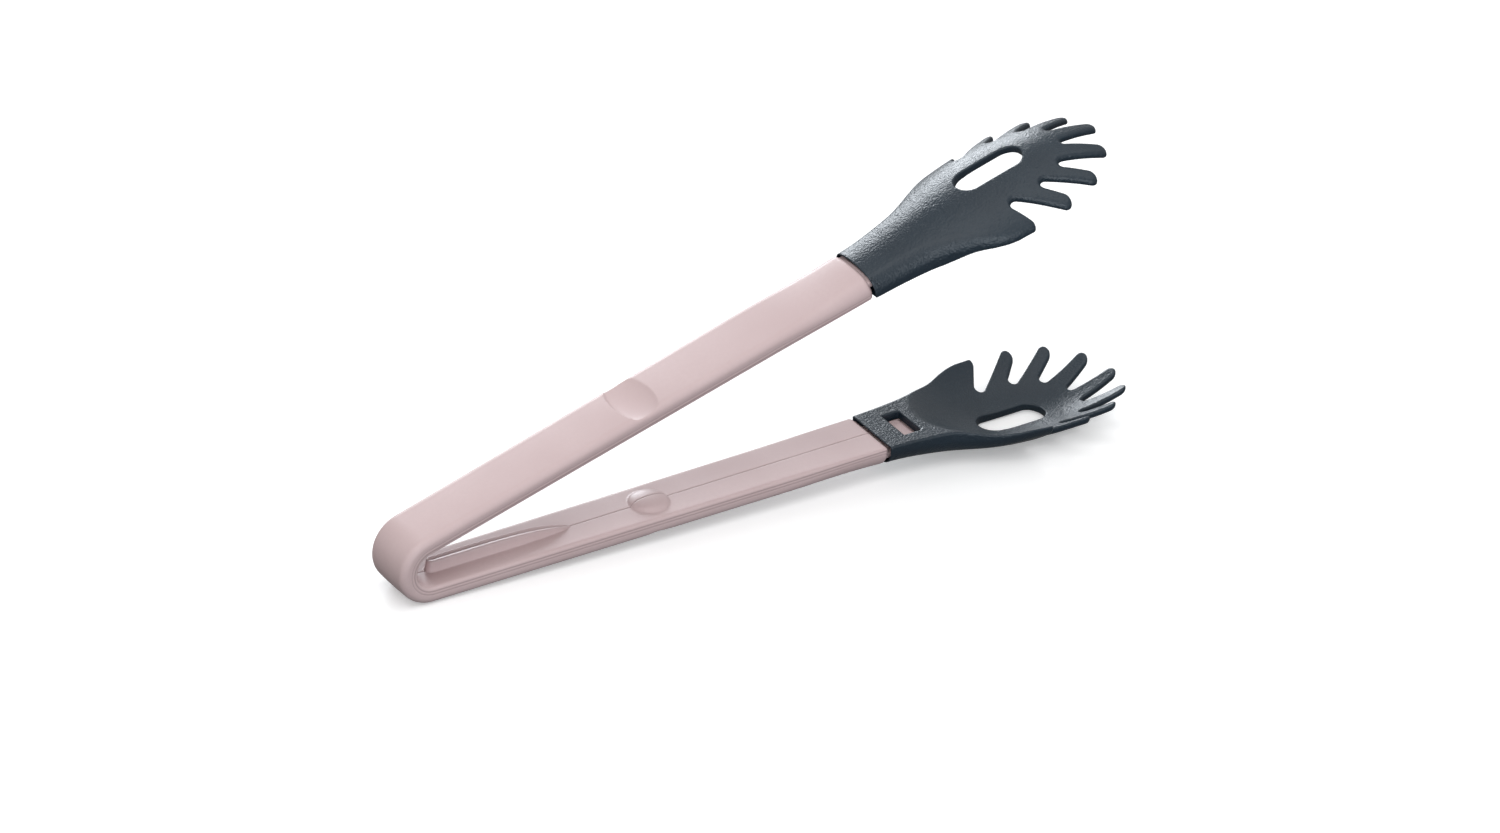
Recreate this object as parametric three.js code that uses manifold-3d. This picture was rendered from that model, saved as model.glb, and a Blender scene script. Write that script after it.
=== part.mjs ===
// Spring loaded kitchen tongs: a one-piece U-spring handle with two identical clip-on pasta heads.
// Millimetres, +Z up, +X along the lower arm towards the heads. Each arm and its head are drawn in an
// arm frame: x runs along the arm from the bend centre, y across it, z from its outer face inwards.
import * as THREE from 'three';
import { mergeVertices } from 'three/addons/utils/BufferGeometryUtils.js';
import Module from 'manifold-3d';

// Whole tongs
const OPENING_DEG = 15.75; // angle between the relaxed arms
const REST_TILT_DEG = 2.05; // the tongs stand on the bend and on the back of the lower bowl
const GAP = 0.3; // clearance between touching pieces

// Handle moulding
const BEND_RADIUS = 13.4; // outer radius of the U-bend
const ARM_THICKNESS = 6.7;
const ARM_LENGTH = 185.5; // bend centre to the mouth of the head
const BEND_HALF_WIDTH = 11;
const END_HALF_WIDTH = 12.1;
const OUTER_ROUND = 2.2; // radius of the outer long edges
const INNER_ROUND = 0.8;
const END_ARCH = 2; // the outer face swells by this much at the head end
const END_DROP = 0.5; // and its edges by this much
const ARCH_START = 140;

// Stiffening fin beside the bend
const FIN_START = 2.5;
const FIN_END = 61;
const FIN_HEIGHT = 4.3;
const FIN_FALL = 5; // the higher, the later its crest falls away
const FIN_TOP_HALF_WIDTH = 1.5;
const FIN_ROOT_HALF_WIDTH = 2.4;

// Thumb dimple on the outer face, and the dome behind it on the inner face
const DIMPLE_CENTRE = 92;
const DIMPLE_SEMI_AXES = [7.6, 15, 1.8];
const DIMPLE_TILT_DEG = 6;
const DOME_CENTRE = 93.5;
const DOME_RADIUS = 7.3;
const DOME_HEIGHT = 2;

// Tang, socket and snap catch
const TANG_LENGTH = 21.2;
const TANG_HALF_WIDTH = 10;
const TANG_BOTTOM = -0.7;
const TANG_TOP = 3.3;
const CATCH_SLOT_START = 1; // measured from the mouth of the head
const CATCH_SLOT_END = 18.4;
const CATCH_SLOT_HALF_WIDTH = 7.1;
const CATCH_HALF_WIDTH = 6.2;
const CATCH_THICKNESS = 1.3;
const CATCH_LENGTH = 16.4;
const NUB_HEIGHT = 1.2;
const WINDOW_START = 9;
const WINDOW_END = 16;
const WINDOW_HALF_WIDTH = 7.2;

// Pasta head
const HEAD_TOP = 6.9; // flat inner face of the sleeve
const SLEEVE_BACK = -2.7;
const BOWL_BACK = -8.7;
const BOWL_WALL = 2.9;
const BOWL_FLOOR = BOWL_BACK + BOWL_WALL;
const BACK_SLOPE = [186, 240]; // the back falls from the sleeve to the bowl between these
const TROUGH_SLOPE = 0.79; // slope of the bowl's flanks
const TROUGH_ROUND = 20;
const DEEPENING = 0.17; // how much steeper the flanks are in front of the tines
const DEEPENING_RISE = [195, 220];
const DEEPENING_FALL = [226, 256];
const SWELL = 1.2; // bulge between the spine and the rim
const SWELL_HALF_WIDTH = 25.3;
const SWELL_RISE = [208, 232];
const SWELL_FALL = [244, 266];
const CURL_START = 258; // the tines curl up from here
const CURL = 0.0082;
const SCOOP_START = 205.5; // apex of the bowl's edge
const SCOOP_END = 244;
const HEAD_END = 291;
const HEAD_HALF_WIDTH = 30;
const SLEEVE_HALF_WIDTH = 12.6;
const SLOT_CENTRE = 245;
const SLOT_HALF_STRAIGHT = 8;
const SLOT_RADIUS = 5.6;
const FLANK = [[197, 13.3], [210, 15.2], [220, 19.2], [229.5, 23.7], [236.5, 25.8]];
const SHOULDER_HEADING_DEG = 10; // direction of the flank as it meets the shoulder tip

// Rounded shoulder, tine tips and the valleys between them, from the side to the middle
const TIP_RADIUS = 2.35;
const HALF_FAN = [
  { at: [243.9, 25.2], radius: 1.4, tip: true },
  { at: [243.4, 18], radius: 1.9, tip: false },
  { at: [259, 24.3], radius: TIP_RADIUS, tip: true },
  { at: [257, 16.8], radius: 1.8, tip: false },
  { at: [272.5, 20.7], radius: TIP_RADIUS, tip: true },
  { at: [267.7, 12.9], radius: 1.8, tip: false },
  { at: [282.8, 12], radius: TIP_RADIUS, tip: true },
  { at: [273.9, 4.7], radius: 1.5, tip: false },
];
const MIDDLE_TINE = { at: [286.75, 0], radius: TIP_RADIUS, tip: true };

const QUARTER_TURN = Math.PI / 2;
const radians = THREE.MathUtils.degToRad;
const opening = radians(OPENING_DEG);

const wasm = await Module();
wasm.setup();

// A closed geometry as a solid that can be joined and cut.
function solid(geometry) {
  const bare = geometry.index ? geometry.toNonIndexed() : geometry.clone();
  bare.deleteAttribute('normal');
  bare.deleteAttribute('uv');
  const merged = mergeVertices(bare, 1e-3);
  return new wasm.Manifold(new wasm.Mesh({
    numProp: 3,
    vertProperties: new Float32Array(merged.attributes.position.array),
    triVerts: new Uint32Array(merged.index.array),
  }));
}

function geometryOf(manifold) {
  const { vertProperties, triVerts } = manifold.getMesh();
  const geometry = new THREE.BufferGeometry();
  geometry.setAttribute('position', new THREE.BufferAttribute(vertProperties, 3));
  geometry.setIndex(new THREE.BufferAttribute(triVerts, 1));
  geometry.computeVertexNormals();
  return geometry;
}

// Moves every vertex of a geometry to where `place` sends it.
function reshape(geometry, place) {
  const position = geometry.attributes.position;
  for (let i = 0; i < position.count; i += 1) {
    position.setXYZ(i, ...place(position.getX(i), position.getY(i), position.getZ(i)));
  }
  return geometry;
}

function extrude(shape, depth, steps = 1, curveSegments = 3) {
  return new THREE.ExtrudeGeometry(shape, { depth, steps, curveSegments, bevelEnabled: false });
}

// A block between two corners, in the arm frame.
function block([x0, y0, z0], [x1, y1, z1]) {
  const geometry = new THREE.BoxGeometry(x1 - x0, y1 - y0, z1 - z0);
  return solid(geometry.translate((x0 + x1) / 2, (y0 + y1) / 2, (z0 + z1) / 2));
}

// An ellipsoid, for dimples and domes.
function lens([sx, sy, sz], centre, tiltDeg = 0) {
  const geometry = new THREE.SphereGeometry(1, 24, 12).rotateX(QUARTER_TURN).scale(sx, sy, sz);
  return solid(geometry.rotateY(radians(tiltDeg)).translate(...centre));
}

// Side profile (along, inward) extruded across the arm; halfWidth may depend on the height.
function acrossArm(profile, halfWidth) {
  const place = (along, height, across) => [along, (1 - 2 * across) * halfWidth(height), height];
  return solid(reshape(extrude(profile, 1), place));
}

// ---- Handle ----

// The bar's section: a flat outer face with rounded edges, straight sides and a flat inner face.
function barSection() {
  const w = BEND_HALF_WIDTH;
  const t = ARM_THICKNESS;
  const shape = new THREE.Shape();
  const strips = 6;
  shape.moveTo(-w + OUTER_ROUND, 0);
  for (let i = 1; i <= strips; i += 1) {
    shape.lineTo((w - OUTER_ROUND) * (2 * i / strips - 1), 0);
  }
  shape.absarc(w - OUTER_ROUND, OUTER_ROUND, OUTER_ROUND, -QUARTER_TURN, 0, false);
  shape.absarc(w - INNER_ROUND, t - INNER_ROUND, INNER_ROUND, 0, QUARTER_TURN, false);
  shape.absarc(-w + INNER_ROUND, t - INNER_ROUND, INNER_ROUND, QUARTER_TURN, 2 * QUARTER_TURN, false);
  shape.absarc(-w + OUTER_ROUND, OUTER_ROUND, OUTER_ROUND, 2 * QUARTER_TURN, 3 * QUARTER_TURN, false);
  return shape;
}

function springBend() {
  const sweep = Math.PI - opening;
  const endGap = GAP / 2 / BEND_RADIUS;
  const place = (across, inward, along) => {
    const angle = QUARTER_TURN + opening + THREE.MathUtils.lerp(endGap, sweep - endGap, along);
    const radius = BEND_RADIUS - inward;
    return [radius * Math.cos(angle), across, BEND_RADIUS + radius * Math.sin(angle)];
  };
  return solid(reshape(extrude(barSection(), 1, 16), place));
}

function armBar() {
  const end = ARM_LENGTH - GAP;
  const place = (across, inward, along) => {
    const x = THREE.MathUtils.lerp(GAP / 2, end, along);
    const halfWidth = THREE.MathUtils.lerp(BEND_HALF_WIDTH, END_HALF_WIDTH, along);
    const swell = THREE.MathUtils.clamp((x - ARCH_START) / (end - ARCH_START), 0, 1) ** 2;
    const crown = 1 - (across / BEND_HALF_WIDTH) ** 2;
    const outward = swell * (END_DROP + (END_ARCH - END_DROP) * crown) * (1 - inward / ARM_THICKNESS);
    return [x, across * halfWidth / BEND_HALF_WIDTH, inward - outward];
  };
  return solid(reshape(extrude(barSection(), 1, 20), place));
}

function fin() {
  const profile = new THREE.Shape();
  const root = ARM_THICKNESS - 1;
  profile.moveTo(FIN_START, root);
  profile.lineTo(FIN_END, root);
  profile.lineTo(FIN_END, ARM_THICKNESS);
  const steps = 10;
  for (let i = 1; i < steps; i += 1) {
    const x = THREE.MathUtils.lerp(FIN_END, FIN_START, i / steps);
    profile.lineTo(x, ARM_THICKNESS + FIN_HEIGHT * (1 - (x / FIN_END) ** FIN_FALL));
  }
  profile.lineTo(FIN_START + 1.2, ARM_THICKNESS + FIN_HEIGHT - 0.2);
  profile.lineTo(FIN_START, ARM_THICKNESS + FIN_HEIGHT - 1.6);
  const taper = (FIN_ROOT_HALF_WIDTH - FIN_TOP_HALF_WIDTH) / FIN_HEIGHT;
  return acrossArm(profile, (height) => FIN_ROOT_HALF_WIDTH - taper * (height - ARM_THICKNESS));
}

// The hyperbolic trough that the sleeve's back, the tang and the bowl all share.
function trough(across) {
  return TROUGH_SLOPE * (Math.hypot(across, TROUGH_ROUND) - TROUGH_ROUND);
}

// A bar with a trough-shaped bottom and a flat top, along the arm from x0 to x1.
function troughBar(x0, x1, halfWidth, bottom, top) {
  const shape = new THREE.Shape();
  const sides = 8;
  shape.moveTo(halfWidth, top);
  shape.lineTo(-halfWidth, top);
  for (let i = 0; i <= sides; i += 1) {
    const across = THREE.MathUtils.lerp(-halfWidth, halfWidth, i / sides);
    shape.lineTo(across, bottom + trough(across));
  }
  const place = (across, inward, along) => [x0 + along * (x1 - x0), across, inward];
  return solid(reshape(extrude(shape, 1), place));
}

function arm() {
  const tangRoot = ARM_LENGTH - 4;
  const tang = troughBar(tangRoot, ARM_LENGTH + TANG_LENGTH, TANG_HALF_WIDTH, TANG_BOTTOM, TANG_TOP);
  const catchSlot = block(
    [ARM_LENGTH + CATCH_SLOT_START, -CATCH_SLOT_HALF_WIDTH, SLEEVE_BACK],
    [ARM_LENGTH + CATCH_SLOT_END, CATCH_SLOT_HALF_WIDTH, HEAD_TOP],
  );
  const dome = lens([DOME_RADIUS, DOME_RADIUS, DOME_HEIGHT], [DOME_CENTRE, 0, ARM_THICKNESS]);
  const dimple = lens(DIMPLE_SEMI_AXES, [DIMPLE_CENTRE, 0, 0], DIMPLE_TILT_DEG);
  return armBar().add(fin()).add(dome).subtract(dimple).add(tang).subtract(catchSlot);
}

// A flexible tongue with a raised nub that locks in the head's window.
function snapCatch() {
  const root = ARM_LENGTH + CATCH_SLOT_START + GAP;
  const tip = root + CATCH_LENGTH;
  const nubStart = ARM_LENGTH + WINDOW_START + GAP;
  const nubEnd = ARM_LENGTH + WINDOW_END - GAP;
  const bottom = TANG_TOP - CATCH_THICKNESS;
  const nubTop = TANG_TOP + NUB_HEIGHT;
  const profile = new THREE.Shape();
  profile.moveTo(root, bottom);
  profile.lineTo(tip, bottom);
  profile.lineTo(tip, TANG_TOP);
  profile.lineTo(nubEnd, TANG_TOP);
  profile.lineTo(nubEnd - 1, nubTop);
  profile.lineTo(nubStart, nubTop);
  profile.lineTo(nubStart, TANG_TOP);
  profile.lineTo(root, TANG_TOP);
  return acrossArm(profile, () => CATCH_HALF_WIDTH);
}

// ---- Head ----

// The trough, with steeper flanks in front of the tines and a bulge between the spine and the rim.
function bowlSection(x, across) {
  const { smoothstep } = THREE.MathUtils;
  const steep = smoothstep(x, ...DEEPENING_RISE) * (1 - smoothstep(x, ...DEEPENING_FALL));
  const round = smoothstep(x, ...SWELL_RISE) * (1 - smoothstep(x, ...SWELL_FALL));
  const part = (across / SWELL_HALF_WIDTH) ** 2;
  return trough(across) * (1 + DEEPENING * steep) - SWELL * round * 4 * part * (1 - part);
}

function headBack(x, across) {
  const fall = (BOWL_BACK - SLEEVE_BACK) * THREE.MathUtils.smoothstep(x, ...BACK_SLOPE);
  return SLEEVE_BACK + fall + bowlSection(x, across) + CURL * Math.max(x - CURL_START, 0) ** 2;
}

function headInside(x, across) {
  const rise = (HEAD_TOP - BOWL_FLOOR) / (SCOOP_END - SCOOP_START) ** 2;
  const scoop = BOWL_FLOOR + bowlSection(x, across) + rise * Math.max(SCOOP_END - x, 0) ** 2;
  return Math.min(HEAD_TOP, scoop + CURL * Math.max(x - CURL_START, 0) ** 2);
}

// The head seen from inside: flanks, then a line that passes round every tip and every valley.
function headOutline() {
  const mirrored = HALF_FAN.toReversed().map(({ at: [x, y], radius, tip }) => ({ at: [x, y], radius, tip }));
  const near = HALF_FAN.map(({ at: [x, y], radius, tip }) => ({ at: [x, -y], radius, tip }));
  const wheels = [...near, MIDDLE_TINE, ...mirrored];
  const headings = [-radians(SHOULDER_HEADING_DEG)];
  for (let i = 0; i + 1 < wheels.length; i += 1) {
    const [from, to] = [wheels[i], wheels[i + 1]];
    const dx = to.at[0] - from.at[0];
    const dy = to.at[1] - from.at[1];
    const lean = Math.asin((from.radius + to.radius) / Math.hypot(dx, dy));
    headings.push(Math.atan2(dy, dx) + (from.tip ? lean : -lean));
  }
  headings.push(Math.PI + radians(SHOULDER_HEADING_DEG));
  const outline = new THREE.Shape();
  outline.moveTo(ARM_LENGTH, -SLEEVE_HALF_WIDTH);
  const nearEnd = [
    wheels[0].at[0] - wheels[0].radius * Math.sin(radians(SHOULDER_HEADING_DEG)),
    wheels[0].at[1] - wheels[0].radius * Math.cos(radians(SHOULDER_HEADING_DEG)),
  ];
  outline.splineThru([...FLANK.map(([x, y]) => [x, -y]), nearEnd].map(([x, y]) => new THREE.Vector2(x, y)));
  wheels.forEach(({ at: [x, y], radius, tip }, i) => {
    const side = tip ? -QUARTER_TURN : QUARTER_TURN;
    outline.absarc(x, y, radius, headings[i] + side, headings[i + 1] + side, !tip);
  });
  const back = [...FLANK.toReversed(), [ARM_LENGTH, SLEEVE_HALF_WIDTH]];
  outline.splineThru(back.map(([x, y]) => new THREE.Vector2(x, y)));
  return outline;
}

function head() {
  const length = HEAD_END - ARM_LENGTH;
  const sheet = new THREE.BoxGeometry(length, 2 * HEAD_HALF_WIDTH, 1, 28, 16, 1);
  sheet.translate(ARM_LENGTH + length / 2, 0, 0);
  const shell = solid(reshape(sheet, (x, y, z) => [x, y, z > 0 ? headInside(x, y) : headBack(x, y)]));
  const outline = solid(extrude(headOutline(), 40).translate(0, 0, -20));
  const slot = new THREE.Shape();
  slot.absarc(SLOT_CENTRE + SLOT_HALF_STRAIGHT, 0, SLOT_RADIUS, -QUARTER_TURN, QUARTER_TURN, false);
  slot.absarc(SLOT_CENTRE - SLOT_HALF_STRAIGHT, 0, SLOT_RADIUS, QUARTER_TURN, 3 * QUARTER_TURN, false);
  const drain = solid(extrude(slot, 40, 1, 6).translate(0, 0, -20));
  const mouth = ARM_LENGTH - 1;
  const end = ARM_LENGTH + TANG_LENGTH + GAP;
  const halfWidth = TANG_HALF_WIDTH + GAP;
  const socket = troughBar(mouth, end, halfWidth, TANG_BOTTOM - GAP, TANG_TOP + GAP);
  const windowCut = block(
    [ARM_LENGTH + WINDOW_START, -WINDOW_HALF_WIDTH, TANG_TOP - GAP],
    [ARM_LENGTH + WINDOW_END, WINDOW_HALF_WIDTH, HEAD_TOP + 1],
  );
  return shell.intersect(outline).subtract(drain).subtract(socket).subtract(windowCut);
}

// ---- Materials and assembly ----

const pink = new THREE.MeshStandardMaterial({ color: 0xd2bebf, roughness: 0.5, metalness: 0 });
const slate = new THREE.MeshStandardMaterial({ color: 0x4a5255, roughness: 0.45, metalness: 0 });

function named(name, geometry, material) {
  const mesh = new THREE.Mesh(geometry, material);
  mesh.name = name;
  return mesh;
}

const armGeometry = geometryOf(arm());
const catchGeometry = geometryOf(snapCatch());
const headGeometry = geometryOf(head());

function side(prefix) {
  const group = new THREE.Group();
  group.add(named(`${prefix}_arm`, armGeometry, pink));
  group.add(named(`${prefix}_catch`, catchGeometry, pink));
  group.add(named(`${prefix}_head`, headGeometry, slate));
  return group;
}

const lower = side('lower');
const upper = side('upper');
upper.rotation.set(Math.PI, -opening, 0, 'YXZ');
upper.position.set(
  -BEND_RADIUS * Math.sin(opening),
  0,
  BEND_RADIUS * (1 + Math.cos(opening)),
);

const tongs = new THREE.Group();
tongs.add(lower, upper, named('spring_bend', geometryOf(springBend()), pink));
tongs.rotation.y = -radians(REST_TILT_DEG);

// The origin is under the middle of the tongs, on the surface that they stand on.
tongs.updateMatrixWorld(true);
const box = new THREE.Box3().setFromObject(tongs, true);
const middle = box.getCenter(new THREE.Vector3());
tongs.position.set(-middle.x, -middle.y, -box.min.z);

export default tongs;
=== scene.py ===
"""Spring loaded kitchen tongs: a pink U-spring handle with two slate pasta heads.

Shapes are worked out in millimetres in an arm frame: x runs along the arm from the
middle of the bend, y across it, and z from the arm's outer face inwards. Both arms
share every shape, and place_on() carries it to the lower or the upper side.
"""
import itertools
import math

import bmesh
import bpy
import numpy as np
from mathutils import Matrix, Vector


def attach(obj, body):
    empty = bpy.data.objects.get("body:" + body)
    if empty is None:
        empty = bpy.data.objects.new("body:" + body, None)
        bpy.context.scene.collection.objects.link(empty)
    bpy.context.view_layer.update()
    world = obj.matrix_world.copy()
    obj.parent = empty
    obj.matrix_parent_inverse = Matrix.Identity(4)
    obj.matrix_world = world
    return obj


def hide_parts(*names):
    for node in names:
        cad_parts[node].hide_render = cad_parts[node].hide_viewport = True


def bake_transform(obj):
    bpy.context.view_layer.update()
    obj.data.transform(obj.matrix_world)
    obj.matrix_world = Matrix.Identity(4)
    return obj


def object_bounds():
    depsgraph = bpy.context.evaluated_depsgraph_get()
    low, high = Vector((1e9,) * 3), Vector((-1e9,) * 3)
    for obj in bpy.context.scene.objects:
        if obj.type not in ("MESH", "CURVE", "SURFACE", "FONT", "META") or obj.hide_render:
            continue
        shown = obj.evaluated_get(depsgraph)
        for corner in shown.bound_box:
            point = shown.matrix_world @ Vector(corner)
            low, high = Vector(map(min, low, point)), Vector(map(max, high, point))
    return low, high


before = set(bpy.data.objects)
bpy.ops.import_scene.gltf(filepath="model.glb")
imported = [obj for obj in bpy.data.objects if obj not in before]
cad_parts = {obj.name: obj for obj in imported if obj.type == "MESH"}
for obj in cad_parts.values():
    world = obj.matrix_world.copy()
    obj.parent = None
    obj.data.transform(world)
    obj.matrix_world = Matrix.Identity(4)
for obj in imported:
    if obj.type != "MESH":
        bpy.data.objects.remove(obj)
cad_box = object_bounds()

MM = 0.001

# Whole tongs
OPENING = math.radians(15.75)
REST_TILT = math.radians(2.05)
BEND_RADIUS = 13.4
ARM_LENGTH = 185.5

# Handle moulding
ARM_THICKNESS = 6.7
BEND_HALF_WIDTH = 11
END_HALF_WIDTH = 12.1
OUTER_ROUND = 2.5
OUTER_ROUND_AT_END = 4.6
INNER_ROUND = 1.5
INNER_ROUND_AT_END = 0.9
ROUND_FADE = (140, 182)
CROWN = 0.3
END_ARCH = 2.0
END_DROP = 0.5
ARCH_START = 140
END_GAP = 0.3
END_ROUND = 1.9

# Stiffening fin beside the bend
FIN_START = 2.5
FIN_END = 61
FIN_HEIGHT = 4.3
FIN_FALL = 5
FIN_HALF_WIDTH = 2.3
FIN_SIDE_SLOPE = 6
FIN_TAPER_START = 40
FIN_TOP_ROUND = 0.45
FIN_TOP_HOLLOW = 0.45

# Thumb dimple and the dome behind it
DIMPLE_CENTRE = 92
DIMPLE_SEMI_AXES = (7.6, 15, 1.9)
DIMPLE_TILT = math.radians(6)
DIMPLE_RIM = 0.25
NO_DIMPLE = -9.0
DOME_CENTRE = 93
DOME_RADIUS = 7.3
DOME_HEIGHT = 2.5

# Parting lines
SEAM_DEPTH = 0.22
SEAM_HALF_WIDTH = 0.28
SIDE_SEAM_STEP = 1.1
SIDE_POINTS = (0.35, 0.7)
# Side points' share of the side groove depth, which is also how much painted shade darkens them
SIDE_SEAM_MARKS = (0, 0, 0, 0.6, 0, 0, 1)
# How far from the middle the middle seam gets painted shade
MIDDLE_SEAM_SHADE_REACH = 0.1

# Tang, socket and catch
TANG_LENGTH = 21.2
TANG_HALF_WIDTH = 10
TANG_BOTTOM = -0.7
TANG_TOP = 3.3
TANG_ROOT = 3
TANG_CORNER = 1.2
TANG_EDGE = 0.5
SOCKET_GAP = 0.3
CATCH_SLOT = (1, 18.4)
CATCH_SLOT_HALF_WIDTH = 7.1
CATCH_SLOT_EDGE = 0.3
CATCH_HALF_WIDTH = 6.2
CATCH_THICKNESS = 1.3
CATCH_LENGTH = 16.4
CATCH_ROOT = 0.6
CATCH_CORNER = 0.8
CATCH_EDGE = 0.35
NUB_HEIGHT = 1.2
NUB_STEP = (0.2, 0.3)
NUB_RAMP = 1.2
WINDOW = (9, 16)
WINDOW_HALF_WIDTH = 7.2
WINDOW_SINK = 1
WINDOW_RIM = 0.3
SOCKET_RIM = 0.2

# Pasta head
HEAD_TOP = 6.9
SLEEVE_BACK = -2.7
SLEEVE_HALF_WIDTH = 12.6
SLEEVE_RUN_IN = 6
BOWL_BACK = -8.7
BOWL_WALL = 2.9
BOWL_FLOOR = BOWL_BACK + BOWL_WALL
BACK_SLOPE = (186, 240)
TROUGH_SLOPE = 0.79
TROUGH_ROUND = 20
DEEPENING = 0.17
DEEPENING_RISE = (195, 220)
DEEPENING_FALL = (226, 256)
SWELL = 1.2
SWELL_HALF_WIDTH = 25.3
SWELL_RISE = (208, 232)
SWELL_FALL = (244, 266)
CURL_START = 258
CURL = 0.0082
SCOOP = (205.5, 244)
SCOOP_EDGE_ROUND = 1.0
SLOT_CENTRE = 245
SLOT_HALF_STRAIGHT = 8
SLOT_RADIUS = 5.6
SLOT_RIM = 0.35
HEAD_END = 291
HEAD_HALF_WIDTH = 29
HEAD_HEADROOM = 2
SLEEVE_RIM = 0.6
BOWL_RIM = 0.8
RIM_GROWTH = (188, 218)
SLEEVE_BACK_RIM = 4.4
BOWL_BACK_RIM = 1.2
BACK_RIM_FADE = (204, 240)
MOUTH_RECESS = 3.0
MOUTH_LIP = 0.55
MOUTH_RIM = 0.3

# The head's outline: flank points, then rounded shoulder, tine tips and valleys as circles that a line passes
# round. Each circle is (x, y, radius, is a tip), from the side to the middle tine.
FLANK = ((197, 13.3), (210, 15.2), (220, 19.2), (229.5, 23.7), (236.5, 25.8))
SHOULDER_HEADING = math.radians(10)
TIP_RADIUS = 2.35
HALF_FAN = (
    (243.9, 25.2, 1.4, True),
    (243.4, 18, 1.9, False),
    (259, 24.3, TIP_RADIUS, True),
    (257, 16.8, 1.8, False),
    (272.5, 20.7, TIP_RADIUS, True),
    (267.7, 12.9, 1.8, False),
    (282.8, 12, TIP_RADIUS, True),
    (273.9, 4.7, 1.5, False),
)
MIDDLE_TINE = (286.75, 0, TIP_RADIUS, True)

# Mesh steps
HEAD_CELL = 0.4
SMALL_CELL = 0.35
COARSE_STEP = 1.0
COARSE_END_MARGIN = 0.4
FINE_STEP = 0.35
FINE_BANDS = ((1.8, 6.5), (52, 62), (83.5, 101.5))
FIN_COLUMN = 0.25
FIN_COLUMNS = 14
WING_POINTS = 12
OUTER_FACE_POINTS = 29
OUTER_ROUND_POINTS = 8
INNER_ROUND_POINTS = 7
END_ROUND_POINTS = 8
BEND_STEPS = 72
ARC_STEPS = 12
LEAN_STEP = 0.1

# How the mesher pulls its points onto the surface: rounds, and the longest move in cells
PULL_ROUNDS = 2
LONGEST_PULL = 0.5
TINY = 1e-6

SIDES = ("lower", "upper")


# ---- Places ----

tilt = Matrix.Rotation(-REST_TILT, 3, "Y")
bend_centre = Vector((cad_box[0].x + BEND_RADIUS * MM, 0, cad_box[0].z + BEND_RADIUS * MM))


def place_on(side, points):
    """Points of the arm frame, in mm, as points of the row frame, in metres, on the lower or upper side."""
    at = np.asarray(points, float) - (0, 0, BEND_RADIUS)
    if side == "upper":
        c, s = math.cos(OPENING), math.sin(OPENING)
        at = at @ np.array([[c, 0, s], [0, -1, 0], [s, 0, -c]]).T
    return at @ np.array(tilt).T * MM + np.array(bend_centre)


def smoothstep(x, low, high):
    t = np.clip((x - low) / (high - low), 0, 1)
    return t * t * (3 - 2 * t)


def trough(y):
    """The hyperbolic trough that the sleeve's back, the tang and the bowl share."""
    return TROUGH_SLOPE * (np.hypot(y, TROUGH_ROUND) - TROUGH_ROUND)


def join(a, b, radius):
    """The larger of two distances, with the edge where they meet rounded to that radius."""
    past_edge = np.hypot(np.maximum(a + radius, 0), np.maximum(b + radius, 0))
    return np.minimum(np.maximum(a, b), -radius) + past_edge


def soft_min(a, b, radius):
    """The smaller of two heights, eased over the last of the radius."""
    ease = np.maximum(radius - np.abs(a - b), 0) / radius
    return np.minimum(a, b) - ease**2 * radius / 4


def soft_max(a, b, radius):
    return -soft_min(-a, -b, radius)


# ---- Meshes ----


def new_object(name, points, faces):
    mesh = bpy.data.meshes.new(name)
    mesh.from_pydata([tuple(p) for p in points], [], faces)
    mesh.validate()
    mesh.polygons.foreach_set("use_smooth", [True] * len(mesh.polygons))
    mesh.update()
    obj = bpy.data.objects.new(name, mesh)
    bpy.context.scene.collection.objects.link(obj)
    return obj


def face_outwards(obj):
    work = bmesh.new()
    work.from_mesh(obj.data)
    bmesh.ops.recalc_face_normals(work, faces=work.faces)
    work.to_mesh(obj.data)
    work.free()


def samples(grid, at):
    """Trilinear samples of a grid at fractional indices."""
    base = np.clip(np.floor(at).astype(int), 0, np.array(grid.shape[:3]) - 2)
    part = at - base
    total = 0
    for corner in itertools.product((0, 1), repeat=3):
        share = np.prod(np.where(corner, part, 1 - part), axis=1)
        values = grid[tuple((base + corner).T)]
        total = total + (share[:, None] * values if values.ndim > 1 else share * values)
    return total


def crossings(distance, axis):
    """Where the zero level crosses the grid's edges along an axis: crossed or not, and how far along."""
    low = np.delete(distance, -1, axis)
    high = np.delete(distance, 0, axis)
    crossed = (low < 0) != (high < 0)
    share = np.where(crossed, low / np.where(crossed, low - high, 1), 0)
    return crossed, share, low < 0


def skin(distance):
    """Points and quads along the zero level of sampled distances, one point in each cell that it passes."""
    cells = np.array(distance.shape) - 1
    hits = np.zeros(cells, int)
    total = np.zeros((*cells, 3))
    edges = []
    for axis in range(3):
        crossed, share, inside = crossings(distance, axis)
        edges.append((crossed, inside))
        one, two = (axis + 1) % 3, (axis + 2) % 3
        for u, v in itertools.product((0, 1), repeat=2):
            window = [slice(None)] * 3
            window[one] = slice(u, cells[one] + u)
            window[two] = slice(v, cells[two] + v)
            here = crossed[tuple(window)]
            hits += here
            total[..., axis] += share[tuple(window)]
            total[..., one] += here * u
            total[..., two] += here * v
    used = hits > 0
    number = np.full(cells, -1)
    number[used] = np.arange(used.sum())
    points = np.argwhere(used) + total[used] / hits[used][:, None]
    quads = []
    for axis, (crossed, inside) in enumerate(edges):
        one, two = (axis + 1) % 3, (axis + 2) % 3
        at = np.argwhere(crossed)
        at = at[(at[:, one] > 0) & (at[:, two] > 0) & (at[:, one] < cells[one]) & (at[:, two] < cells[two])]
        ring = []
        for u, v in ((1, 1), (0, 1), (0, 0), (1, 0)):
            cell = at.copy()
            cell[:, one] -= u
            cell[:, two] -= v
            ring.append(number[tuple(cell.T)])
        ring = np.stack(ring, 1)
        flip = ~inside[tuple(at.T)]
        ring[flip] = ring[flip][:, ::-1]
        quads.append(ring)
    return points, np.concatenate(quads)


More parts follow.
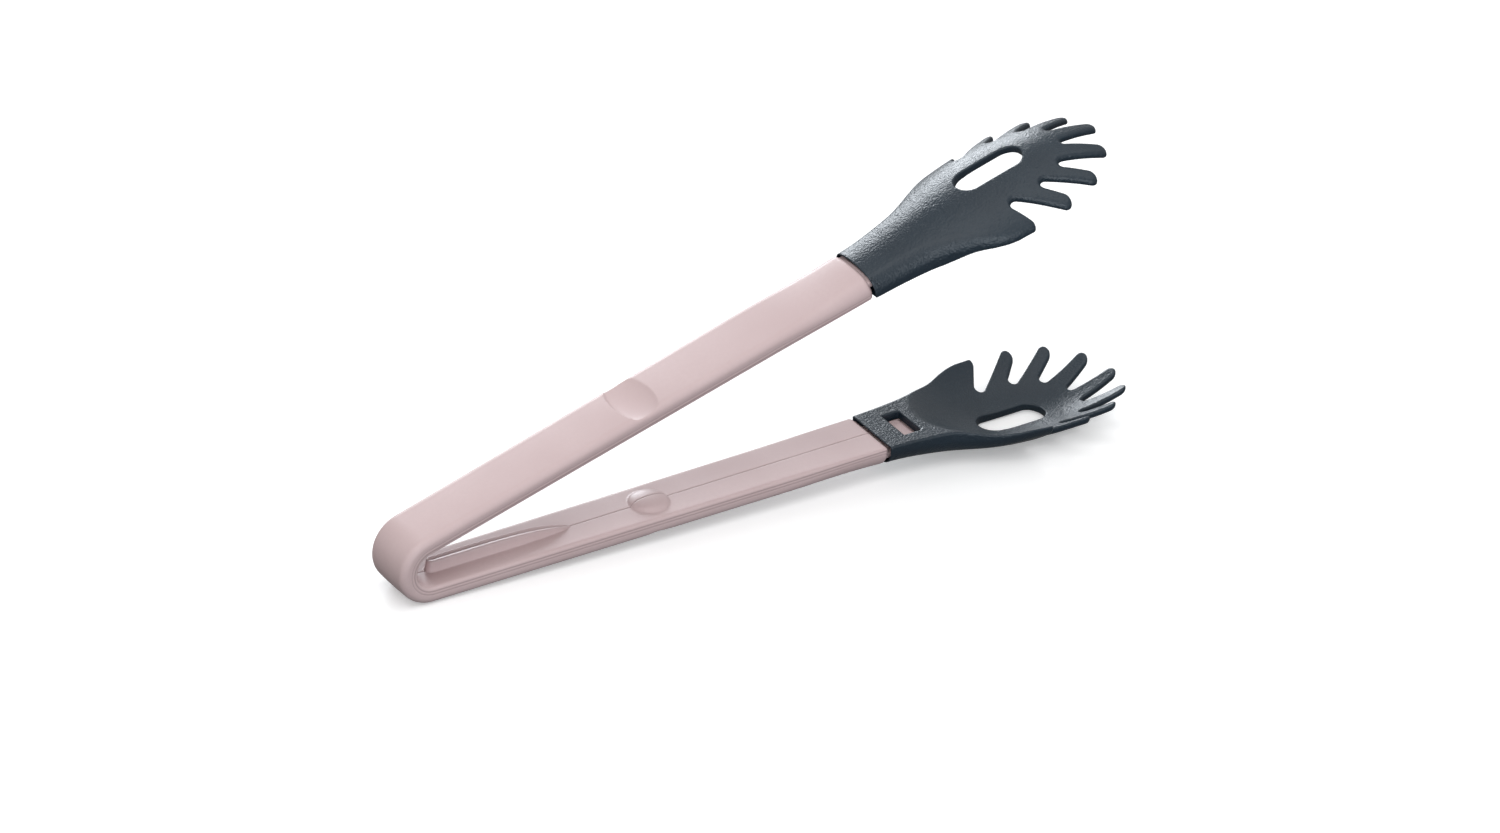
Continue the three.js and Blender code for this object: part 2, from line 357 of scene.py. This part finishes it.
def solid_from(distance_of, low, high, cell):
    """Points and quads of the solid where distance_of(x, y, z) is below zero, all in mm."""
    axes = [np.arange(a - 2 * cell, b + 3 * cell, cell) for a, b in zip(low, high)]
    distance = distance_of(*np.meshgrid(*axes, indexing="ij", sparse=True))
    points, quads = skin(distance)
    slope = np.stack(np.gradient(distance), axis=-1)
    for _ in range(PULL_ROUNDS):
        normal = samples(slope, points)
        off = samples(distance, points) / np.maximum((normal**2).sum(1), TINY)
        step = normal * off[:, None]
        length = np.linalg.norm(step, axis=1, keepdims=True)
        points = points - step * np.minimum(1, LONGEST_PULL / np.maximum(length, TINY))
    return points * cell + [axis[0] for axis in axes], quads


def solid_pieces(shape, names):
    """One object per side from solid_from()'s result."""
    points, quads = shape
    made = []
    for side, name in zip(SIDES, names):
        made.append(new_object(name, place_on(side, points), quads.tolist()))
    return made


# ---- Handle ----


def outer_face(x, y, half_width):
    """Height of the outer face across the arm: a slight crown that arches up at the head end."""
    across = (y / half_width) ** 2
    swell = np.clip((x - ARCH_START) / (ARM_LENGTH - END_GAP - ARCH_START), 0, 1) ** 2
    return CROWN * across * (1 - swell) - swell * (END_DROP + (END_ARCH - END_DROP) * (1 - across))


def dimple(x, y):
    """Depth of the thumb dimple: the inner side of a tilted ellipsoid, deepest towards the bend."""
    long, wide, deep = DIMPLE_SEMI_AXES
    c, s = math.cos(DIMPLE_TILT), math.sin(DIMPLE_TILT)
    along = x - DIMPLE_CENTRE
    a = s * s / long**2 + c * c / deep**2
    b = 2 * along * c * s * (1 / deep**2 - 1 / long**2)
    rest = along**2 * (c * c / long**2 + s * s / deep**2) - 1 + (y / wide) ** 2
    inside = b * b - 4 * a * rest
    return np.where(inside > 0, (np.sqrt(np.maximum(inside, 0)) - b) / (2 * a), NO_DIMPLE)


def fin_height(x, y):
    """Height of the stiffening fin over the inner face: steep sides, round nose, tail drawn to a point."""
    along_tail = np.maximum(x - FIN_TAPER_START, 0) / (FIN_END - FIN_TAPER_START)
    taper = np.sqrt(np.clip(1 - along_tail**2, 0, 1))
    width = FIN_HALF_WIDTH * taper
    nose = np.maximum(FIN_START + FIN_HALF_WIDTH - x, 0)
    inside = width - np.hypot(nose, y)
    crest = FIN_HEIGHT * (1 - np.clip(x / FIN_END, 0, 1) ** FIN_FALL)
    crest = crest - FIN_TOP_HOLLOW * taper * np.clip(inside / FIN_HALF_WIDTH, 0, 1)
    height = soft_min(crest, inside * FIN_SIDE_SLOPE, FIN_TOP_ROUND)
    return np.where(inside > 0, np.maximum(height, 0), 0)


def dome_height(x, y):
    reach = 1 - ((x - DOME_CENTRE) ** 2 + y**2) / DOME_RADIUS**2
    return DOME_HEIGHT * np.sqrt(np.maximum(reach, 0))


def seam(offset):
    """Depth of a parting line at that distance from its middle."""
    return SEAM_DEPTH * np.maximum(1 - np.abs(offset) / SEAM_HALF_WIDTH, 0)


def section(x, inset):
    """The bar's section at x, anticlockwise from the outer face: rows of (y, z, seam mark), where the mark is
    how much painted shade darkens the seam grooves.

    inset rounds the end of the arm off.
    """
    half_width = BEND_HALF_WIDTH + (END_HALF_WIDTH - BEND_HALF_WIDTH) * x / ARM_LENGTH - inset
    inner_round = INNER_ROUND + (INNER_ROUND_AT_END - INNER_ROUND) * smoothstep(x, *ROUND_FADE)
    outer_round = OUTER_ROUND + (OUTER_ROUND_AT_END - OUTER_ROUND) * smoothstep(x, *ROUND_FADE)
    flat = half_width - outer_round
    top = ARM_THICKNESS - inset

    turn = np.linspace(0, math.pi / 2, OUTER_ROUND_POINTS)[1:]
    arc = flat + outer_round * np.sin(turn)
    y_outer = np.concatenate([-arc[::-1], np.linspace(-flat, flat, OUTER_FACE_POINTS), arc])
    over = np.maximum(np.abs(y_outer) - flat, 0)
    fall = outer_round - np.sqrt(np.maximum(outer_round**2 - over**2, 0))
    z_outer = outer_face(x, y_outer, half_width) + fall + inset
    z_outer = soft_max(z_outer, dimple(x, y_outer), DIMPLE_RIM)

    side_start = z_outer[-1]
    side_end = top - inner_round
    marks = [side_end - SIDE_SEAM_STEP + d for d in (-SEAM_HALF_WIDTH, 0, SEAM_HALF_WIDTH)]
    marks += [side_end + d for d in (-SEAM_HALF_WIDTH, 0)]
    z_side = np.array([side_start + (marks[0] - side_start) * t for t in SIDE_POINTS] + marks)
    side_seam = np.array(SIDE_SEAM_MARKS)
    y_side = half_width - side_seam * SEAM_DEPTH

    turn = np.linspace(0, math.pi / 2, INNER_ROUND_POINTS)[1:]
    y_round = half_width - inner_round * (1 - np.cos(turn))
    z_round = side_end + inner_round * np.sin(turn)

    inner_flat = half_width - inner_round
    core = np.arange(-FIN_COLUMNS, FIN_COLUMNS + 1) * FIN_COLUMN
    wing = np.linspace(core[-1], inner_flat, WING_POINTS)[1:-1]
    y_inner = np.concatenate([wing[::-1], core[::-1], -wing])
    rise = np.maximum(fin_height(x, y_inner), dome_height(x, y_inner))
    z_inner = top + rise - seam(y_inner)

    y = np.concatenate([y_outer, y_side, y_round, y_inner, -y_round[::-1], -y_side[::-1]])
    z = np.concatenate([z_outer, z_side, z_round, z_inner, z_round[::-1], z_side[::-1]])
    # Painted shade along the middle seam groove
    middle_seam_shade = (np.abs(y_inner) < MIDDLE_SEAM_SHADE_REACH) * 1.0
    unmarked = np.zeros(len(y_round))
    mark = np.concatenate(
        [np.zeros(len(y_outer)), side_seam, unmarked, middle_seam_shade, unmarked, side_seam[::-1]]
    )
    return np.stack([y, z, mark], 1)


def arm_stations():
    """Places of the sections along an arm: closer where the surface turns quickly."""
    tip = ARM_LENGTH - END_GAP
    turn = np.linspace(0, math.pi / 2, END_ROUND_POINTS)
    end = tip - END_ROUND * (1 - np.sin(turn))
    inset = END_ROUND * (1 - np.cos(turn))
    fine = [np.arange(a, b, FINE_STEP) for a, b in FINE_BANDS]
    coarse = np.arange(COARSE_STEP, end[0] - COARSE_END_MARGIN, COARSE_STEP)
    for band in fine:
        coarse = coarse[(coarse < band[0] - FINE_STEP) | (coarse > band[-1] + FINE_STEP)]
    inner = np.sort(np.concatenate([coarse, *fine]))
    return np.concatenate([inner, end]), np.concatenate([inner * 0, inset])


def handle_mesh():
    """One closed bar: up the lower arm towards the bend, round it, and out along the upper arm."""
    along, inset = arm_stations()
    rings, marks, lengths = [], [], []
    for x, cut in zip(along[::-1], inset[::-1]):
        ring = section(x, cut)
        rings.append(place_on("lower", np.stack([np.full(len(ring), x), ring[:, 0], ring[:, 1]], 1)))
        marks.append(ring[:, 2])
        lengths.append(-x)
    bend = section(0, 0)
    sweep = math.pi - OPENING
    for turned in np.linspace(0, sweep, BEND_STEPS + 1):
        radius = BEND_RADIUS - bend[:, 1]
        at = np.stack([-radius * math.sin(turned), bend[:, 0], BEND_RADIUS - radius * math.cos(turned)], 1)
        rings.append(place_on("lower", at))
        marks.append(bend[:, 2])
        lengths.append(turned * BEND_RADIUS)
    for x, cut in zip(along, inset):
        ring = section(x, cut)
        rings.append(place_on("upper", np.stack([np.full(len(ring), x), -ring[:, 0], ring[:, 1]], 1)))
        marks.append(ring[:, 2])
        lengths.append(sweep * BEND_RADIUS + x)

    count = len(rings[0])
    points = np.concatenate(rings)
    faces = []
    for row in range(len(rings) - 1):
        for k in range(count):
            nxt = (k + 1) % count
            a, b = row * count, (row + 1) * count
            faces.append((a + k, a + nxt, b + nxt, b + k))
    faces.append(tuple(range(count))[::-1])
    faces.append(tuple(range(len(points) - count, len(points))))
    handle = new_object("handle", points, faces)
    handle.data.polygons[len(faces) - 1].use_smooth = False
    handle.data.polygons[len(faces) - 2].use_smooth = False
    face_outwards(handle)

    around = np.zeros(count)
    steps = np.linalg.norm(np.diff(bend[:, :2], axis=0), axis=1)
    around[1:] = np.cumsum(steps)
    flow = np.stack([np.repeat(lengths, count), np.tile(around, len(rings))], 1) * MM
    layer = handle.data.uv_layers.new(name="flow")
    corner = np.zeros(len(handle.data.loops), int)
    handle.data.loops.foreach_get("vertex_index", corner)
    layer.data.foreach_set("uv", flow[corner].astype(np.float32).ravel())
    # The seam attribute is the mask of painted shade along the parting-line grooves
    mark = handle.data.attributes.new("seam", "FLOAT", "POINT")
    mark.data.foreach_set("value", np.concatenate(marks).astype(np.float32))
    return handle


# ---- Tangs and catches ----


def box_distance(value, low, high):
    return np.maximum(low - value, value - high)


def tang_distance(x, y, z):
    """A bar with a trough-shaped bottom, and a slot for the catch."""
    end = ARM_LENGTH + TANG_LENGTH
    height = np.maximum(z - TANG_TOP, TANG_BOTTOM + trough(y) - z)
    plan = join(np.abs(y) - TANG_HALF_WIDTH, box_distance(x, ARM_LENGTH - TANG_ROOT, end), TANG_CORNER)
    slot = np.maximum(
        np.abs(y) - CATCH_SLOT_HALF_WIDTH,
        box_distance(x, ARM_LENGTH + CATCH_SLOT[0], ARM_LENGTH + CATCH_SLOT[1]),
    )
    return join(join(plan, height, TANG_EDGE), -slot, CATCH_SLOT_EDGE)


def catch_distance(x, y, z):
    """A flexible tongue with a raised nub."""
    root = ARM_LENGTH + CATCH_SLOT[0]
    nub = (ARM_LENGTH + WINDOW[0] + SOCKET_GAP, ARM_LENGTH + WINDOW[1] - SOCKET_GAP)
    along = box_distance(x, root - CATCH_ROOT, root + SOCKET_GAP + CATCH_LENGTH)
    plan = join(np.abs(y) - CATCH_HALF_WIDTH, along, CATCH_CORNER)
    step = smoothstep(x, nub[0] - NUB_STEP[0], nub[0] + NUB_STEP[1])
    lift = np.minimum(step, smoothstep(-x, -nub[1], NUB_RAMP - nub[1]))
    top = TANG_TOP + NUB_HEIGHT * lift
    height = np.maximum(z - top, TANG_TOP - CATCH_THICKNESS - z)
    return join(plan, height, CATCH_EDGE)


# ---- Heads ----


def bowl_section(x, y):
    """The trough, with steeper flanks in front of the tines and a bulge between the spine and the rim."""
    deeper = 1 + DEEPENING * smoothstep(x, *DEEPENING_RISE) * (1 - smoothstep(x, *DEEPENING_FALL))
    part = (y / SWELL_HALF_WIDTH) ** 2
    swell = SWELL * 4 * part * (1 - part) * smoothstep(x, *SWELL_RISE) * (1 - smoothstep(x, *SWELL_FALL))
    return trough(y) * deeper - swell


def head_back(x, y):
    fall = (BOWL_BACK - SLEEVE_BACK) * smoothstep(x, *BACK_SLOPE)
    return SLEEVE_BACK + fall + bowl_section(x, y) + CURL * np.maximum(x - CURL_START, 0) ** 2


def head_inside(x, y):
    rise = (HEAD_TOP - BOWL_FLOOR) / (SCOOP[1] - SCOOP[0]) ** 2
    scoop = BOWL_FLOOR + bowl_section(x, y) + rise * np.maximum(SCOOP[1] - x, 0) ** 2
    scoop = scoop + CURL * np.maximum(x - CURL_START, 0) ** 2
    return soft_min(scoop, HEAD_TOP, SCOOP_EDGE_ROUND)


def spline(points):
    """A smooth curve through the points."""
    points = [np.array(p, float) for p in points]
    ends = [points[0], *points, points[-1]]
    curve = []
    for p0, p1, p2, p3 in zip(ends, ends[1:], ends[2:], ends[3:]):
        start, finish = (p2 - p0) / 2, (p3 - p1) / 2
        cubic = 2 * p1 - 2 * p2 + start + finish
        square = 3 * p2 - 3 * p1 - 2 * start - finish
        for t in np.arange(ARC_STEPS) / ARC_STEPS:
            curve.append(cubic * t**3 + square * t**2 + start * t + p1)
    return curve


def head_outline():
    """The head seen from inside, from the near side of the mouth round the tines to the far side."""
    near = [(x, -y, r, tip) for x, y, r, tip in HALF_FAN]
    wheels = [*near, MIDDLE_TINE, *reversed(HALF_FAN)]
    headings = [-SHOULDER_HEADING]
    for (x0, y0, r0, tip), (x1, y1, r1, _) in itertools.pairwise(wheels):
        lean = math.asin((r0 + r1) / math.hypot(x1 - x0, y1 - y0))
        headings.append(math.atan2(y1 - y0, x1 - x0) + (lean if tip else -lean))
    headings.append(math.pi + SHOULDER_HEADING)
    x, y, radius, _ = near[0]
    shoulder = (x - radius * math.sin(SHOULDER_HEADING), y - radius * math.cos(SHOULDER_HEADING))
    flank = spline([(ARM_LENGTH, -SLEEVE_HALF_WIDTH), *((x, -y) for x, y in FLANK), shoulder])
    outline = [(ARM_LENGTH - SLEEVE_RUN_IN, -SLEEVE_HALF_WIDTH), *flank]
    for (x, y, radius, tip), before, after in zip(wheels, headings, headings[1:]):
        quarter = -math.pi / 2 if tip else math.pi / 2
        sweep = (after - before) % (2 * math.pi) if tip else -((before - after) % (2 * math.pi))
        for t in np.linspace(0, 1, ARC_STEPS + 1):
            angle = before + quarter + sweep * t
            outline.append((x + radius * math.cos(angle), y + radius * math.sin(angle)))
    outline += [(x, -y) for x, y in reversed(flank)]
    outline.append((ARM_LENGTH - SLEEVE_RUN_IN, SLEEVE_HALF_WIDTH))
    return np.array(outline)


def outline_distance(outline, x, y):
    """Distance of each (x, y) from a closed outline, below zero inside it."""
    nearest = np.full(x.shape, np.inf)
    inside = np.zeros(x.shape, bool)
    for (x0, y0), (x1, y1) in zip(outline, np.roll(outline, -1, axis=0)):
        dx, dy = x1 - x0, y1 - y0
        span = dx * dx + dy * dy
        if span < 1e-12:
            continue
        t = np.clip(((x - x0) * dx + (y - y0) * dy) / span, 0, 1)
        nearest = np.minimum(nearest, (x - x0 - t * dx) ** 2 + (y - y0 - t * dy) ** 2)
        if y0 != y1:
            inside ^= ((y0 > y) != (y1 > y)) & (x < x0 + (y - y0) * dx / dy)
    return np.where(inside, -1, 1) * np.sqrt(nearest)


def leaning(height, x, y):
    """How much a height field's distance shrinks because its surface leans."""
    step = LEAN_STEP
    slope_x = (height(x + step, y) - height(x - step, y)) / (2 * step)
    slope_y = (height(x, y + step) - height(x, y - step)) / (2 * step)
    return 1 / np.sqrt(1 + slope_x**2 + slope_y**2)


def head_distance(x, y, z):
    """The shell between back and inside within the outline, less its slot, socket and window."""
    flat_x, flat_y = np.broadcast_arrays(x[:, :, 0], y[:, :, 0])
    edge = outline_distance(head_outline(), flat_x, flat_y)[:, :, None]
    back = (head_back(x, y) - z) * leaning(head_back, x, y)
    inside = (z - head_inside(x, y)) * leaning(head_inside, x, y)
    rim = SLEEVE_RIM + (BOWL_RIM - SLEEVE_RIM) * smoothstep(x, *RIM_GROWTH)
    back_rim = SLEEVE_BACK_RIM + (BOWL_BACK_RIM - SLEEVE_BACK_RIM) * smoothstep(x, *BACK_RIM_FADE)
    shell = np.maximum(join(inside, edge, rim), join(back, edge, back_rim))
    recess = np.maximum(shell + MOUTH_LIP, x - ARM_LENGTH - MOUTH_RECESS)
    shell = join(shell, ARM_LENGTH - x, MOUTH_RIM)
    drain = np.hypot(np.maximum(np.abs(x - SLOT_CENTRE) - SLOT_HALF_STRAIGHT, 0), y) - SLOT_RADIUS
    shell = join(shell, -drain, SLOT_RIM)
    socket = np.maximum(z - TANG_TOP - SOCKET_GAP, TANG_BOTTOM - SOCKET_GAP + trough(y) - z)
    socket = np.maximum(socket, np.abs(y) - TANG_HALF_WIDTH - SOCKET_GAP)
    socket = np.maximum(socket, x - ARM_LENGTH - TANG_LENGTH - SOCKET_GAP)
    shell = join(shell, -np.minimum(socket, recess), SOCKET_RIM)
    along_window = box_distance(x, ARM_LENGTH + WINDOW[0], ARM_LENGTH + WINDOW[1])
    window = np.maximum(np.abs(y) - WINDOW_HALF_WIDTH, along_window)
    window = np.maximum(window, TANG_TOP - WINDOW_SINK - z)
    return join(shell, -window, WINDOW_RIM)


# ---- Materials ----

# Moulded plastic: soft clouds, specks a few grains wide and fine grain, and on the handle painted shade in
# the seam grooves
PLASTIC_IOR = 1.5
CLOUD_SCALE = 28
CLOUD_DETAIL = 3
SPECK_SIZE = 3.1
SPECK_SHADE = 0.35
SPECK_BUMP = 0.25
SPECK_DEPTH = 1.5
GRAIN_BUMP = 0.6
ROUGHNESS_SPREAD = 0.04
# Painted shade: the seam grooves are darkened towards this colour by this share
SEAM_PAINTED_SHADE_COLOUR = (132, 108, 110)
SEAM_PAINTED_SHADE_SHARE = 0.55


def linear(*srgb):
    """An sRGB colour of 0 to 255 as linear RGBA."""
    return (*((c / 255 / 12.92 if c <= 10 else ((c / 255 + 0.055) / 1.055) ** 2.4) for c in srgb), 1)


class Nodes:
    """Short calls for a material's node tree."""

    def __init__(self, name):
        self.material = bpy.data.materials.new(name)
        self.material.use_nodes = True
        self.tree = self.material.node_tree
        self.shader = self.tree.nodes["Principled BSDF"]

    def add(self, kind, **settings):
        node = self.tree.nodes.new(kind)
        for key, value in settings.items():
            setattr(node, key, value)
        return node

    def link(self, out, into):
        self.tree.links.new(out, into)

    def noise(self, where, scale, detail=2, dimensions="3D"):
        node = self.add("ShaderNodeTexNoise", noise_dimensions=dimensions)
        node.inputs["Scale"].default_value = scale
        node.inputs["Detail"].default_value = detail
        self.link(where, node.inputs["Vector"])
        return node.outputs["Fac"]

    def ramp(self, value, low, high, from_low=0.3, from_high=0.7):
        node = self.add("ShaderNodeMapRange")
        limits = {"From Min": from_low, "From Max": from_high, "To Min": low, "To Max": high}
        for key, number in limits.items():
            node.inputs[key].default_value = number
        self.link(value, node.inputs["Value"])
        return node.outputs["Result"]

    def mix(self, factor, one, two):
        node = self.add("ShaderNodeMix", data_type="RGBA")
        for socket, value in ((node.inputs[6], one), (node.inputs[7], two)):
            if isinstance(value, tuple):
                socket.default_value = value
            else:
                self.link(value, socket)
        self.link(factor, node.inputs[0])
        return node.outputs[2]

    def bump(self, height, strength, distance, normal=None):
        node = self.add("ShaderNodeBump")
        node.inputs["Strength"].default_value = strength
        node.inputs["Distance"].default_value = distance
        self.link(height, node.inputs["Height"])
        if normal is not None:
            self.link(normal, node.inputs["Normal"])
        return node.outputs["Normal"]


def moulded_plastic(name, colour, shade, roughness, grain_size, grain_depth, on_flow=False):
    """Satin moulded plastic: fine grain, faint flow mottling, a slightly duller shade in places, and on the
    flow map painted shade darkening the seams.
    """
    make = Nodes(name)
    if on_flow:
        source = make.add("ShaderNodeUVMap", uv_map="flow").outputs["UV"]
        kind = "2D"
    else:
        source = make.add("ShaderNodeTexCoord").outputs["Object"]
        kind = "3D"
    cloud = make.noise(source, CLOUD_SCALE, CLOUD_DETAIL, kind)
    grain = make.noise(source, 1 / (grain_size * MM), 2, kind)
    speck = make.noise(source, 1 / (grain_size * SPECK_SIZE * MM), 1, kind)
    tone = make.mix(make.ramp(cloud, 0, 1), colour, shade)
    tone = make.mix(make.ramp(speck, 0, SPECK_SHADE), tone, shade)
    if on_flow:
        # Painted shade: the seam mask darkens the parting-line grooves
        line = make.add("ShaderNodeAttribute", attribute_name="seam").outputs["Fac"]
        tone = make.mix(make.ramp(line, 0, SEAM_PAINTED_SHADE_SHARE, 0, 1), tone, linear(*SEAM_PAINTED_SHADE_COLOUR))
    make.link(tone, make.shader.inputs["Base Color"])
    gloss = make.ramp(cloud, roughness - ROUGHNESS_SPREAD, roughness + ROUGHNESS_SPREAD)
    make.link(gloss, make.shader.inputs["Roughness"])
    coarse = make.bump(speck, SPECK_BUMP, grain_depth * SPECK_DEPTH * MM)
    make.link(make.bump(grain, GRAIN_BUMP, grain_depth * MM, coarse), make.shader.inputs["Normal"])
    make.shader.inputs["IOR"].default_value = PLASTIC_IOR
    return make.material


pink_look = {
    "colour": linear(203, 181, 181),
    "shade": linear(197, 174, 174),
    "roughness": 0.46,
    "grain_size": 0.5,
    "grain_depth": 0.02,
}
slate_look = {
    "colour": linear(34, 49, 60),
    "shade": linear(26, 39, 50),
    "roughness": 0.35,
    "grain_size": 0.8,
    "grain_depth": 0.4,
}
pink = moulded_plastic("pink_plastic", **pink_look, on_flow=True)
pink_insert = moulded_plastic("pink_insert", **pink_look)
slate = moulded_plastic("slate_plastic", **slate_look)


def finish(obj, material, slot):
    obj.data.materials.append(material)


# ---- Assembly ----

handle = handle_mesh()
finish(handle, pink, "pink_handle")
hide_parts("lower_arm", "spring_bend", "upper_arm")
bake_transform(handle)

tang_shape = solid_from(
    tang_distance,
    (ARM_LENGTH - TANG_ROOT, -TANG_HALF_WIDTH, TANG_BOTTOM),
    (ARM_LENGTH + TANG_LENGTH, TANG_HALF_WIDTH, TANG_TOP),
    SMALL_CELL,
)
catch_shape = solid_from(
    catch_distance,
    (ARM_LENGTH, -CATCH_HALF_WIDTH, TANG_TOP - CATCH_THICKNESS),
    (ARM_LENGTH + CATCH_SLOT[0] + SOCKET_GAP + CATCH_LENGTH, CATCH_HALF_WIDTH, TANG_TOP + NUB_HEIGHT),
    SMALL_CELL,
)
head_shape = solid_from(
    head_distance,
    (ARM_LENGTH, -HEAD_HALF_WIDTH, BOWL_BACK),
    (HEAD_END, HEAD_HALF_WIDTH, HEAD_TOP + HEAD_HEADROOM),
    HEAD_CELL,
)

tangs = solid_pieces(tang_shape, ("lower_tang", "upper_tang"))
for side, tang in zip(SIDES, tangs):
    finish(tang, pink_insert, "pink_handle")
    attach(tang, f"{side}_arm")
tongues = solid_pieces(catch_shape, ("lower_tongue", "upper_tongue"))
for side, tongue in zip(SIDES, tongues):
    finish(tongue, pink_insert, "pink_handle")
    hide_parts(f"{side}_catch")
    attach(tongue, f"{side}_catch")
shells = solid_pieces(head_shape, ("lower_head_shell", "upper_head_shell"))
for side, shell in zip(SIDES, shells):
    finish(shell, slate, "slate_head")
    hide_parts(f"{side}_head")
    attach(shell, f"{side}_head")


# ---- Floor, light and camera ----

FLOOR_HALF_SIZE = 6
FLOOR_TONE = 0.93
FLOOR_SHADE = 0.9
FLOOR_MOTTLE_SCALE = 3
FLOOR_ROUGHNESS = 0.7
FLOOR_GLOW = 0.25
GROUND_LIGHT = 0.16
DOME_LIGHT = 0.6
HORIZON = (-0.12, 0.06)
WHITE = (1, 1, 1, 1)
SENSOR_WIDTH = 36
CAMERA_CLIP = (0.05, 50)


def grey(level):
    return level, level, level, 1


def direction(azimuth, elevation):
    """The direction that something stands in, seen from the tongs."""
    a, e = math.radians(azimuth), math.radians(elevation)
    return Vector((math.sin(a) * math.cos(e), -math.cos(a) * math.cos(e), math.sin(e)))


def studio_floor():
    """A pale sheet under the tongs."""
    half = FLOOR_HALF_SIZE
    corners = [(-half, -half, 0), (half, -half, 0), (half, half, 0), (-half, half, 0)]
    floor = new_object("floor", corners, [(0, 1, 2, 3)])
    make = Nodes("pale_floor")
    source = make.add("ShaderNodeTexCoord").outputs["Object"]
    mottle = make.ramp(make.noise(source, FLOOR_MOTTLE_SCALE), 0, 1)
    tone = make.mix(mottle, grey(FLOOR_TONE), grey(FLOOR_SHADE))
    make.link(tone, make.shader.inputs["Base Color"])
    make.shader.inputs["Roughness"].default_value = FLOOR_ROUGHNESS
    make.shader.inputs["Emission Color"].default_value = WHITE
    make.shader.inputs["Emission Strength"].default_value = FLOOR_GLOW
    floor.data.materials.append(make.material)
    floor.visible_diffuse = False
    floor.visible_glossy = False


def soft_light(name, size, strength, azimuth, elevation, distance, colour=(1, 1, 1)):
    """A square softbox, aimed at the tongs from that direction."""
    lamp = bpy.data.lights.new(name, "AREA")
    lamp.shape = "SQUARE"
    lamp.size = size
    lamp.energy = strength
    lamp.color = colour
    obj = bpy.data.objects.new(name, lamp)
    back = direction(azimuth, elevation)
    obj.location = back * distance
    obj.rotation_mode = "QUATERNION"
    obj.rotation_quaternion = (-back).to_track_quat("-Z", "Y")
    bpy.context.scene.collection.objects.link(obj)


def studio_world():
    """A pale dome over a darker ground, so that undersides stay dark as they do over a sheet of paper."""
    world = bpy.data.worlds.new("studio")
    bpy.context.scene.world = world
    world.use_nodes = True
    tree = world.node_tree
    where = tree.nodes.new("ShaderNodeTexCoord")
    split = tree.nodes.new("ShaderNodeSeparateXYZ")
    tree.links.new(where.outputs["Generated"], split.inputs["Vector"])
    rise = tree.nodes.new("ShaderNodeMapRange")
    rise.inputs["From Min"].default_value = HORIZON[0]
    rise.inputs["From Max"].default_value = HORIZON[1]
    rise.inputs["To Min"].default_value = GROUND_LIGHT
    rise.inputs["To Max"].default_value = DOME_LIGHT
    tree.links.new(split.outputs["Z"], rise.inputs["Value"])
    tree.links.new(rise.outputs["Result"], tree.nodes["Background"].inputs["Strength"])
    tree.nodes["Background"].inputs["Color"].default_value = WHITE


def studio_camera(azimuth, elevation, roll, distance, lens, aim):
    """The camera that the photo was fitted with; angles in degrees, lens in mm, the rest in metres."""
    camera = bpy.data.cameras.new("camera")
    camera.sensor_width = SENSOR_WIDTH
    camera.lens = lens
    camera.clip_start, camera.clip_end = CAMERA_CLIP
    obj = bpy.data.objects.new("camera", camera)
    back = direction(azimuth, elevation)
    obj.location = Vector(aim) + back * distance
    obj.rotation_mode = "QUATERNION"
    turn = Matrix.Rotation(math.radians(roll), 3, back)
    obj.rotation_quaternion = (turn @ (-back).to_track_quat("-Z", "Y").to_matrix()).to_quaternion()
    bpy.context.scene.collection.objects.link(obj)
    bpy.context.scene.camera = obj


studio_floor()
soft_light("key_softbox", size=1.1, strength=5.3, azimuth=-60, elevation=50, distance=1.3)
soft_light(
    "front_fill", size=0.9, strength=9, azimuth=-15, elevation=8, distance=1.6, colour=(0.86, 0.93, 1)
)
soft_light(
    "back_softbox", size=0.6, strength=13, azimuth=163, elevation=18, distance=1.6, colour=(0.9, 0.95, 1)
)
soft_light("top_softbox", size=1.4, strength=6, azimuth=60, elevation=78, distance=1.8)
studio_world()
bpy.context.scene.view_settings.view_transform = "Standard"
studio_camera(
    azimuth=-34.669,
    elevation=30.021,
    roll=3.885,
    distance=3.626,
    lens=250.62,
    aim=(-0.004987, -0.000562, 0.033894),
)
